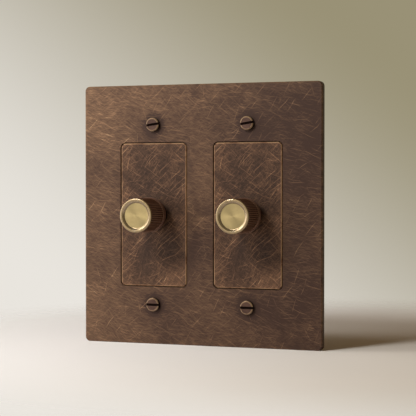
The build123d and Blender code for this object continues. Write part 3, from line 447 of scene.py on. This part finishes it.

# Wear along the edges, and painted shade round the screws
PLATE_EDGE_W = 0.0008
PLATE_EDGE_WEAR = 0.40
PLATE_EDGE_SCALE = 300.0
PLATE_EDGE_RISE = (0.3, 0.6)
HALO_R = 0.0070
HALO_SHADE = 0.28
RIM_BAND = (0.0003, 0.0007)
RIM_WEAR = 0.95
RIM_SCALE = 220.0
RIM_RISE = (0.3, 0.62)
RIM_LEAST = 0.55
NEAR_RIM_W = 0.004
NEAR_RIM_WEAR = 0.07


def all_streaks(graph, flat, bent, layers):
    """Layers of streaks, each in clusters of its own."""
    total = 0.0
    for number, (angle, width, stretch, share) in enumerate(layers):
        field = streaks(graph, bent, angle, width, stretch, 3.1 * number + 1.0)
        clusters = graph.noise(flat, STREAK_CLUSTER_SCALE + STREAK_CLUSTER_STEP * number)
        where = graph.step(clusters, *STREAK_CLUSTER_RISE)
        total = graph.summed(total, (graph.times(graph.step(field, *STREAK_RISE), where), share))
    return total


def all_scratches(graph, flat, bent, scratches):
    """Layers of single scratches, each in clusters of its own."""
    total = 0.0
    for number, (angle, length, pitch, width, share, weight) in enumerate(scratches):
        found = hairlines(graph, bent, angle, length, pitch, width, share, 5.0 + number)
        clusters = graph.noise(flat, SCRATCH_CLUSTER_SCALE + SCRATCH_CLUSTER_STEP * number)
        where = graph.step(clusters, *SCRATCH_CLUSTER_RISE)
        total = graph.summed(total, (graph.times(found, where), weight))
    return total


def worn_bronze(name, piece, tones, layers, scratches, patches_and_light, local, wear_and_shade):
    """Smoked bronze rubbed back along its edges, under soft streaks and single scratches, with painted light
    and shade in its patches.
    """
    material, graph = new_material(name)
    x, y, z = graph.split(graph.object_place())
    x = local(graph, x)
    flat = graph.joined(x, z)
    bent = flat
    for scale, reach in BENDS:
        bent = graph.warped(bent, scale, reach)
    streaked = all_streaks(graph, flat, bent, layers)
    lines = all_scratches(graph, flat, bent, scratches)
    mottle = graph.step(graph.noise(flat, MOTTLE_SCALE, detail=4.0, roughness=0.6), *MOTTLE_RISE)
    # The patches paint light and shade as well as patina, and so does the share of bare metal that they
    # feed.
    patchy_and_light = graph.summed(graph.spots(x, z, patches_and_light), (mottle, MOTTLE))
    share = graph.most(graph.summed(STREAKS_PLAIN, (patchy_and_light, STREAKS_BY_PATCH)), STREAKS_LEAST)
    bare_and_painted_light = graph.plus(graph.summed(graph.times(streaked, share), (patchy_and_light, TONE_BY_PATCH)), lines)
    bare_and_painted_light = graph.plus(bare_and_painted_light, wear_and_shade(graph, x, z))
    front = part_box(piece)[0].y
    bare_and_painted_light = graph.times(bare_and_painted_light, graph.step(y, front + SIDE_START, front + SIDE_END, 1.0, SIDE_SHARE))
    bare_and_painted_light = graph.most(graph.least(bare_and_painted_light, 1.0), 0.0)
    colour = graph.mix(bare_and_painted_light, linear(tones[0]), linear(tones[1]))
    colour = graph.mix(graph.step(bare_and_painted_light, *SHINE_RISE), colour, linear(SHINE))
    grain = graph.plus(lines, graph.times(streaked, 0.5))
    close_material(
        graph, Base_Color=colour, Metallic=graph.summed(0.2, (bare_and_painted_light, 0.5)),
        Roughness=graph.summed(0.50, (bare_and_painted_light, -0.08)), Normal=graph.bump(grain, WORN_RELIEF, GRAIN_STRENGTH),
        Specular_IOR_Level=0.2
    )
    return material


def same_place(graph, x):
    return x


def own_middle(graph, x):
    """x from the middle of either insert, which are finished alike."""
    middle, _ = middle_and_half("right_insert")
    return graph.minus(x, graph.times(graph.math("SIGN", x), middle))


def plate_wear_and_shade(graph, x, z):
    """Rubbed along the outer edge, and darker round the screws as painted shade."""
    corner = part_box("wall_plate")[1]
    inside = edge_distance(graph, x, z, corner.x, corner.z)
    ragged = graph.step(graph.noise(graph.joined(x, z), PLATE_EDGE_SCALE, detail=3.0), *PLATE_EDGE_RISE)
    edge = graph.step(inside, 0.0, PLATE_EDGE_W, PLATE_EDGE_WEAR, 0.0)
    # Painted shade in a ring round each screw head.
    halo = graph.step(off_axis(graph, x, z, *screw_axis()), SCREW_HEAD_R, HALO_R, -HALO_SHADE, 0.0)
    return graph.summed(halo, (edge, ragged))


def insert_wear(graph, x, z):
    """Rubbed most along the rim, and a little for several millimetres inside it."""
    _, half_width = middle_and_half("right_insert")
    inside = edge_distance(graph, x, z, half_width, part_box("right_insert")[1].z)
    ragged = graph.step(graph.noise(graph.joined(x, z), RIM_SCALE, detail=3.0), *RIM_RISE)
    kept = graph.summed(RIM_LEAST, (ragged, 1.0 - RIM_LEAST))
    rim = graph.times(graph.step(inside, *RIM_BAND, RIM_WEAR, 0.0), kept)
    near = graph.times(graph.step(inside, 0.0, NEAR_RIM_W, NEAR_RIM_WEAR, 0.0), ragged)
    return graph.plus(rim, near)


# Handled bronze of the screws and the knobs: two tones of the finish, the bare metal, which on the screws'
# bevels is a painted highlight, and the dirt, which also stands for painted shade
SCREW_TONES = ((72, 51, 43), (86, 63, 53), (160, 133, 106), (16, 9, 8))
KNOB_TONES = ((116, 86, 73), (130, 99, 84), (198, 156, 130), (30, 19, 15))
HANDLED_FINE_SCALE = 1400.0
HANDLED_BROAD_SCALE = 240.0
HANDLED_RAGGED_SCALE = 700.0
HANDLED_RAGGED_RISE = (0.25, 0.55, 0.55, 1.0)
THREAD_RELIEF = 0.0004

# Where the screws carry a painted highlight on the bevel, and dirt and painted shade in the slot and on the
# head's side: bands of radius inside and outside the head's, and of depth
SCREW_BEVEL_IN = (0.0008, 0.0004)
SCREW_BEVEL_OUT = (0.0001, 0.0003)
SCREW_BEVEL_DEPTH = (0.0004, 0.0007)
SLOT_DEPTH = (0.0002, 0.0007)
SLOT_DIRT_AND_SHADE = 0.95
HEAD_SEAT = 0.0001
THREAD_START = 0.0005

# Where the knobs are rubbed, dirty, and darkened as painted shade: bands of radius inside the outer one,
# widths along the axis
CREST_BAND = (0.00046, 0.00027)
CREST_WEAR = 0.65
KNURL_END = 0.0002
RING_EDGE_BAND = (0.0006, 0.0003)
RING_EDGE_OFF = 0.0001
RING_EDGE_W = 0.0005
RING_EDGE_WEAR = 0.12
ROOT_BAND = (0.00055, 0.00030)
ROOT_DIRT = 0.6
BACK_W = 0.0008
BACK_SHADE = 0.6
BEVEL_OFF = 0.0003
BEVEL_BAND = (0.0003, 0.0005)
BEVEL_SHADE = 0.4


def rubbed_metal(name, tones, rubbed_and_highlight, grime_and_shade, ridges=None):
    """Dark bronze that is bare where it is handled and lighter as a painted highlight on the screws' bevels,
    and black where dirt stays and where shade is painted.
    """
    material, graph = new_material(name)
    where = graph.object_place()
    fine = graph.noise(where, HANDLED_FINE_SCALE, detail=4.0, roughness=0.6)
    broad = graph.step(graph.noise(where, HANDLED_BROAD_SCALE, detail=3.0), *SOFT_RISE)
    ragged = graph.step(graph.noise(where, HANDLED_RAGGED_SCALE), *HANDLED_RAGGED_RISE)
    bare_and_painted_light = rubbed_and_highlight(graph, where)
    dirt_and_shade = grime_and_shade(graph, where)
    first, second, metal, black = (linear(tone) for tone in tones)
    tone = graph.mix(broad, first, second)
    # On the screws' bevels the bare-metal tone is a painted highlight.
    tone = graph.mix(graph.times(bare_and_painted_light, ragged), tone, metal)
    # Dirt turns the tone black, and so does painted shade on the screws' slots and sides and on the knobs'
    # ring bevel and back.
    tone = graph.mix(dirt_and_shade, tone, black)
    normal = graph.bump(fine, GRAIN_RELIEF, GRAIN_STRENGTH)
    if ridges:
        normal = graph.bump(ridges(graph, where), THREAD_RELIEF, 1.0, normal)
    close_material(
        graph, Base_Color=tone, Metallic=graph.summed(0.45, (dirt_and_shade, 0.55)),
        Roughness=graph.summed(0.34, (bare_and_painted_light, -0.10), (fine, 0.18)), Normal=normal, Specular_IOR_Level=0.3
    )
    return material


def screw_bevel_highlight(graph, where):
    """Painted highlight: the bevel round the head's face, in the lighter bare-metal tone."""
    x, y, z = graph.split(where)
    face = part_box("plate_screws")[0].y
    radius = off_axis(graph, x, z, *screw_axis())
    ring = graph.step(radius, *(SCREW_HEAD_R - inside for inside in SCREW_BEVEL_IN))
    outer = graph.step(radius, *(SCREW_HEAD_R + outside for outside in SCREW_BEVEL_OUT), 1.0, 0.0)
    front = graph.step(y, *(face + depth for depth in SCREW_BEVEL_DEPTH), 1.0, 0.0)
    return graph.times(graph.times(ring, outer), front)


def screw_dirt_and_shade(graph, where):
    """Dirt and painted shade in the slot, and painted shade on the head's side, but not on the shank behind
    the head.
    """
    _, y, _ = graph.split(where)
    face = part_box("plate_screws")[0].y
    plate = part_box("wall_plate")[0].y
    slot = graph.step(y, *(face + depth for depth in SLOT_DEPTH), 0.0, SLOT_DIRT_AND_SHADE)
    return graph.times(slot, graph.math("LESS_THAN", y, plate + HEAD_SEAT))


def screw_thread(graph, where):
    """A helical ridge on the shank behind the plate."""
    x, y, z = graph.split(where)
    axis_x, axis_z = screw_axis()
    turn_x = graph.minus(x, graph.times(graph.math("SIGN", x), axis_x))
    turn_z = graph.minus(z, graph.times(graph.math("SIGN", z), axis_z))
    turn = graph.math("DIVIDE", graph.math("ARCTAN2", turn_z, turn_x), 2 * math.pi)
    phase = graph.math("FRACT", graph.plus(graph.math("DIVIDE", y, THREAD_PITCH), turn))
    ridge = graph.math("PINGPONG", graph.times(phase, 2.0), 1.0)
    return graph.times(ridge, graph.step(y, 0.0, THREAD_START))


def knob_place(graph, where):
    """Radius and y of a point, and the outer radius and rear end of the knob."""
    x, y, z = graph.split(where)
    middle, outer = middle_and_half("right_knob_body")
    return off_axis(graph, x, z, middle, 0.0), y, outer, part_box("right_knob_body")[1].y


def inner_bands(outer, band):
    return [outer - inside for inside in band]


def knob_rubbed(graph, where):
    """The knurl's crests and the front edge of the plain ring behind it."""
    radius, y, outer, rear = knob_place(graph, where)
    ring_front = rear - KNOB_RING_L
    crest = graph.step(radius, *inner_bands(outer, CREST_BAND), 0.0, CREST_WEAR)
    knurled = graph.step(y, ring_front - KNURL_END, ring_front, 1.0, 0.0)
    edge = graph.step(graph.gap(y, ring_front + RING_EDGE_OFF), 0.0, RING_EDGE_W, RING_EDGE_WEAR, 0.0)
    edge = graph.times(edge, graph.step(radius, *inner_bands(outer, RING_EDGE_BAND)))
    return graph.summed(edge, (crest, knurled))


def knob_dirt_and_shade(graph, where):
    """Dirt at the bottom of the knurl, and painted shade along the ring's bevel and towards the plate."""
    radius, y, outer, rear = knob_place(graph, where)
    root = graph.step(radius, *inner_bands(outer, ROOT_BAND), ROOT_DIRT, 0.0)
    # Painted shade along the ring's bevel and on its back towards the plate.
    bevel = graph.step(graph.gap(y, rear - KNOB_RING_L + BEVEL_OFF), *BEVEL_BAND, BEVEL_SHADE, 0.0)
    back = graph.step(y, rear - BACK_W, rear, 0.0, BACK_SHADE)
    return graph.most(graph.most(root, bevel), back)


# Turned brass of the caps: the disc's two tones, the dish's wall, the line of painted shade at its foot, the
# rim, darkened as painted shade
DISC_TONES = ((157, 139, 97), (169, 150, 105))
WALL_TONE = (158, 139, 113)
FOOT_SHADE_TONE = (66, 48, 34)
# The rim's tone, darkened below the disc's as painted shade.
RIM_SHADE_TONE = (146, 123, 85)
WALL_BLUR = 0.0001
RIM_BAND_START = 0.00015
RIM_BAND_END = 0.00005
FOOT_IN = 0.00012
FOOT_BAND = (0.0001, 0.0004)
FOOT_SHADE_SHARE = 0.5
CLOUD_SCALE = 260.0
RINGS_SCALE = 9000.0
RINGS_RELIEF = 0.000006

# How much flatter the dish's wall is shaded than it is, as a slope
EASE_RISE = 0.40


def turned_brass(name):
    """Satin brass with fine lathe rings and a soft highlight that fans out from the axis, with painted shade
    at the dish's foot and on the rim.
    """
    material, graph = new_material(name)
    where = graph.object_place()
    x, _, z = graph.split(where)
    middle, outer = middle_and_half("right_knob_cap")
    radius = off_axis(graph, x, z, middle, 0.0)
    rim_r = outer - CAP_RIM_W
    foot_r = rim_r - DISH_TAPER
    wall = graph.step(radius, foot_r - WALL_BLUR, foot_r + WALL_BLUR)
    rim = graph.step(radius, rim_r - RIM_BAND_START, rim_r + RIM_BAND_END)
    foot_shade = graph.step(graph.gap(radius, foot_r + FOOT_IN), *FOOT_BAND, FOOT_SHADE_SHARE, 0.0)
    cloud = graph.step(graph.noise(where, CLOUD_SCALE, detail=3.0), *SOFT_RISE)
    tone = graph.mix(cloud, *(linear(tone) for tone in DISC_TONES))
    tone = graph.mix(wall, tone, linear(WALL_TONE))
    # A painted shade line at the foot of the dish's wall.
    tone = graph.mix(foot_shade, tone, linear(FOOT_SHADE_TONE))
    # The rim's tone is darkened as painted shade.
    tone = graph.mix(rim, tone, linear(RIM_SHADE_TONE))
    turns = graph.joined(graph.times(radius, RINGS_SCALE), 0.0)
    rings = graph.noise(turns, 1.0, detail=3.0, roughness=0.7)
    ease = graph.least(graph.most(graph.minus(rim_r, radius), 0.0), DISH_TAPER)
    tangent = graph.node("ShaderNodeTangent", direction_type="RADIAL", axis="Y").outputs[0]
    close_material(
        graph, Base_Color=tone, Metallic=1.0,
        Roughness=graph.summed(0.34, (rim, 0.13), (wall, -0.20), (rings, 0.10)),
        Normal=graph.bump(rings, RINGS_RELIEF, 0.6, graph.bump(ease, EASE_RISE)),
        Coat_Weight=graph.summed(0.15, (rim, 0.25), (wall, 0.15)), Coat_Roughness=0.16, Coat_IOR=2.0,
        Anisotropic=0.6, Tangent=tangent
    )
    return material


# Plain finishes: two tones, metallic share, roughness
METALS = {
    "bushing_brass": ((190, 158, 96), (208, 176, 112), 0.9, 0.35),
    "shaft_steel": ((176, 176, 178), (200, 200, 200), 0.9, 0.35),
    "zinc_steel": ((176, 176, 170), (204, 202, 190), 0.9, 0.35),
    "spring_steel": ((140, 142, 146), (170, 170, 172), 0.9, 0.35),
    "green_screw": ((44, 104, 56), (70, 132, 76), 0.5, 0.4),
    "terminal_brass": ((196, 160, 92), (216, 184, 116), 0.9, 0.35),
    "contact_copper": ((186, 112, 78), (204, 134, 96), 0.9, 0.35),
    "winding_copper": ((170, 92, 50), (192, 116, 66), 0.7, 0.3),
}
MOULDINGS = {
    "housing_plastic": ((34, 34, 36), (46, 46, 48), 0.0, 0.55),
    "white_plastic": ((214, 212, 204), (226, 224, 218), 0.0, 0.55),
    "package_black": ((32, 32, 34), (42, 42, 44), 0.0, 0.55),
    "board_green": ((34, 88, 52), (46, 106, 64), 0.0, 0.35),
    "phenolic": ((128, 88, 54), (146, 104, 66), 0.0, 0.55),
    "fibre_sheet": ((196, 190, 172), (212, 206, 190), 0.0, 0.7),
    "capacitor_case": ((158, 44, 34), (172, 58, 44), 0.0, 0.3),
    "ferrite": ((62, 62, 66), (78, 78, 80), 0.0, 0.5),
}

# Noise scale and relief of their grain
METAL_GRAIN = (900.0, GRAIN_RELIEF)
MOULDED_GRAIN = (2500.0, 0.00002)

# Strap: tones of its front, painted black as the shade in the gaps round the inserts, and of its plating,
# and the depth over which one gives way
GAP_SHADE_TONES = ((26, 20, 17), (36, 28, 24))
PLATED = ((178, 180, 182), (208, 208, 204))
GAP_SHADE_DEPTH = (0.0002, 0.0006)
STRAP_FINE_SCALE = 500.0
STRAP_BROAD_SCALE = 42.0


def plain(name, first, second, metallic, roughness, grain, relief):
    """Two tones and a fine grain in colour, gloss and surface."""
    material, graph = new_material(name)
    where = graph.object_place()
    fine = graph.noise(where, grain, detail=4.0, roughness=0.6)
    broad = graph.step(graph.noise(where, grain / 12, detail=3.0), *SOFT_RISE)
    tone = graph.mix(graph.summed(0.0, (fine, 0.4), (broad, 0.6)), linear(first), linear(second))
    close_material(
        graph, Base_Color=tone, Metallic=metallic, Roughness=graph.summed(roughness - 0.08, (fine, 0.16)),
        Normal=graph.bump(fine, relief, GRAIN_STRENGTH)
    )
    return material


def strap_steel(name):
    """Plated steel, its front painted black as shade, so that nothing light shows in the gaps round the
    inserts.
    """
    material, graph = new_material(name)
    where = graph.object_place()
    _, y, _ = graph.split(where)
    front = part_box("left_mounting_strap")[0].y
    plated = graph.step(y, *(front + depth for depth in GAP_SHADE_DEPTH))
    fine = graph.noise(where, STRAP_FINE_SCALE, detail=4.0, roughness=0.6)
    broad = graph.step(graph.noise(where, STRAP_BROAD_SCALE, detail=3.0), *SOFT_RISE)
    black = graph.mix(fine, *(linear(tone) for tone in GAP_SHADE_TONES))
    zinc = graph.mix(broad, *(linear(tone) for tone in PLATED))
    close_material(
        graph, Base_Color=graph.mix(plated, black, zinc), Metallic=graph.times(plated, 0.9),
        Roughness=graph.summed(0.60, (plated, -0.30), (fine, 0.16)),
        Normal=graph.bump(fine, GRAIN_RELIEF, GRAIN_STRENGTH)
    )
    return material


def build_materials():
    finishes = {
        "plate_bronze": worn_bronze(
            "plate_bronze", "wall_plate", PLATE_TONES, PLATE_LAYERS, PLATE_SCRATCHES, PLATE_PATINA_AND_PAINTED_LIGHT,
            same_place, plate_wear_and_shade
        ),
        "insert_bronze": worn_bronze(
            "insert_bronze", "right_insert", INSERT_TONES, INSERT_LAYERS, INSERT_SCRATCHES,
            INSERT_PATCHES_AND_SHADOW, own_middle, insert_wear
        ),
        "screw_bronze": rubbed_metal("screw_bronze", SCREW_TONES, screw_bevel_highlight, screw_dirt_and_shade, screw_thread),
        "knob_bronze": rubbed_metal("knob_bronze", KNOB_TONES, knob_rubbed, knob_dirt_and_shade),
        "cap_brass": turned_brass("cap_brass"),
        "strap_steel": strap_steel("strap_steel"),
    }
    for table, grain in ((METALS, METAL_GRAIN), (MOULDINGS, MOULDED_GRAIN)):
        for name, finish in table.items():
            finishes[name] = plain(name, *finish, *grain)
    return finishes


def dress_nodes():
    finishes = build_materials()
    for node in NODES.values():
        for slot in node.material_slots:
            slot.material = finishes[slot.material.name.split(".")[0]]


def shorten_springs():
    """The return springs shorten as their plungers move in, which needs meshes of their own: copies hung on
    the base body take the place of the hidden nodes, because a node keeps its mesh.
    """
    for gang in GANGS:
        node = NODES[f"{gang}_return_spring"]
        coil = bpy.data.objects.new(f"{gang}_spring_coil", node.data.copy())
        coil.matrix_world = node.matrix_world
        bpy.context.scene.collection.objects.link(coil)
        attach(coil, "base")
        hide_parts(f"{gang}_return_spring")
        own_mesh(coil)


# Surroundings

def glow(graph, towards):
    """How dusky the background is in a direction, from 0 to 1."""
    spread = SENSOR_MM / LENS_MM
    forward = -direction(AZIMUTH, ELEVATION)
    right = forward.cross(Vector((0, 0, 1))).normalized()
    slope = (GLOW_RIGHT * right + GLOW_UP * right.cross(forward)) / spread
    rise = graph.vectors("DOT_PRODUCT", towards, tuple(slope))["Value"]
    return graph.step(graph.plus(rise, (GLOW_RIGHT + GLOW_UP) / 2), GLOW_START, GLOW_END)


def add_world():
    world = bpy.data.worlds.new("studio")
    world.use_nodes = True
    world.node_tree.nodes.clear()
    graph = Graph(world.node_tree)
    towards = graph.node("ShaderNodeTexCoord").outputs["Generated"]
    shown = graph.mix(glow(graph, towards), linear(PALE), linear(DUSKY))
    path = graph.node("ShaderNodeLightPath").outputs
    seen = graph.most(path["Is Camera Ray"], path["Is Glossy Ray"])
    seen = graph.most(seen, path["Is Transmission Ray"])
    colour = graph.mix(seen, linear(AMBIENT_TINT), shown)
    strength = graph.summed(AMBIENT, (seen, 1.0 - AMBIENT))
    background = graph.node("ShaderNodeBackground", {"Color": colour, "Strength": strength})
    graph.node("ShaderNodeOutputWorld", {"Surface": background.outputs[0]})
    bpy.context.scene.world = world


def floor_material():
    material, graph = new_material("floor")
    x, y, _ = graph.split(graph.object_place())
    flat = graph.joined(x, y)
    tone = graph.mix(graph.step(x, *FLOOR_TURN), linear(FLOOR_LEFT), linear(FLOOR_RIGHT))
    grain = graph.bump(graph.noise(flat, FLOOR_GRAIN_SCALE, detail=3.0), FLOOR_RELIEF, 0.4)
    matte = graph.node("ShaderNodeBsdfDiffuse", {"Color": tone, "Normal": grain}).outputs[0]
    clear = graph.node("ShaderNodeBsdfTransparent").outputs[0]
    fade = graph.step(graph.vectors("DISTANCE", flat, FADE_MIDDLE)["Value"], FADE_NEAR, FADE_FAR)
    surface = graph.node("ShaderNodeMixShader", {0: fade, 1: matte, 2: clear}).outputs[0]
    graph.node("ShaderNodeOutputMaterial", {"Surface": surface})
    return material


def add_floor():
    """A pale floor under the plate's lower edge that fades into the background with distance."""
    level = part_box("wall_plate")[0].z
    turns = [2 * math.pi * side / FLOOR_SIDES for side in range(FLOOR_SIDES)]
    rim = [(FLOOR_R * math.cos(turn), FLOOR_R * math.sin(turn), level) for turn in turns]
    mesh = bpy.data.meshes.new("floor")
    mesh.from_pydata(rim, [], [tuple(range(FLOOR_SIDES))])
    mesh.materials.append(floor_material())
    floor = bpy.data.objects.new("floor", mesh)
    bpy.context.scene.collection.objects.link(floor)


add_camera()
add_world()
for lamp_name, lamp in LAMPS.items():
    add_lamp(lamp_name, *lamp)
add_floor()
dress_nodes()
shorten_springs()
bpy.context.scene.view_settings.view_transform = "Standard"
